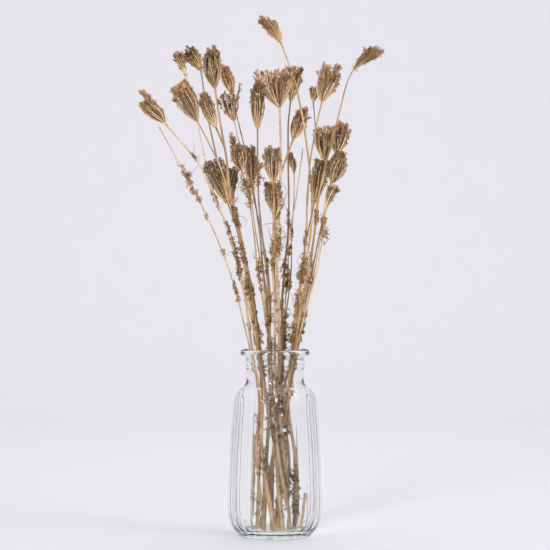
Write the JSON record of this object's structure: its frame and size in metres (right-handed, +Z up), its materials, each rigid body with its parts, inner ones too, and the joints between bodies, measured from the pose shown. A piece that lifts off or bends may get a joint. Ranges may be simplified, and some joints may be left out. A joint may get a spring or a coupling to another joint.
{
  "type": "dried wild carrot bunch in a glass vase",
  "caption": "Bunch of dried wild carrot with closed brown umbels on straw-coloured stalks, standing in a clear fluted glass vase with a flared lip.",
  "frame": {"origin": "centre of the vase's underside, on the surface it stands on", "axes": "+Z up, +X to the right and +Y away from the front"},
  "size_m": [0.2774, 0.1868, 0.6005],
  "materials": {
    "clear_glass": "clear pressed glass with a faint green tint, polished",
    "dried_stalk": "dry straw-coloured plant stem, matt with fine ribs",
    "dried_umbel": "dry brown seed heads, matt and fibrous"
  },
  "bodies": {
    "root": {"vase": "clear_glass", "loose_stalk_end": "dried_stalk", "stem_01": "dried_stalk", "stem_02": "dried_stalk", "stem_03": "dried_stalk", "stem_04": "dried_stalk", "stem_05": "dried_stalk", "stem_06": "dried_stalk", "stem_07": "dried_stalk", "stem_08": "dried_stalk", "stem_09": "dried_stalk", "stem_10": "dried_stalk", "stem_11": "dried_stalk", "stem_12": "dried_stalk", "stem_13": "dried_stalk", "stem_14": "dried_stalk", "stem_15": "dried_stalk", "umbel_01": "dried_umbel", "umbel_02": "dried_umbel", "umbel_03": "dried_umbel", "umbel_04": "dried_umbel", "umbel_05": "dried_umbel", "umbel_05_side": "dried_umbel", "umbel_06": "dried_umbel", "umbel_07": "dried_umbel", "umbel_08": "dried_umbel", "umbel_09": "dried_umbel", "umbel_10": "dried_umbel", "umbel_11": "dried_umbel", "umbel_12": "dried_umbel", "umbel_13": "dried_umbel", "umbel_13_side": "dried_umbel", "umbel_14": "dried_umbel", "umbel_15": "dried_umbel", "umbel_16": "dried_umbel", "umbel_16_side": "dried_umbel", "umbel_17": "dried_umbel", "umbel_18": "dried_umbel", "umbel_19": "dried_umbel", "umbel_20": "dried_umbel", "umbel_21": "dried_umbel", "umbel_22": "dried_umbel", "umbel_23": "dried_umbel", "umbel_24": "dried_umbel", "umbel_25": "dried_umbel"}
  },
  "joints": []
}
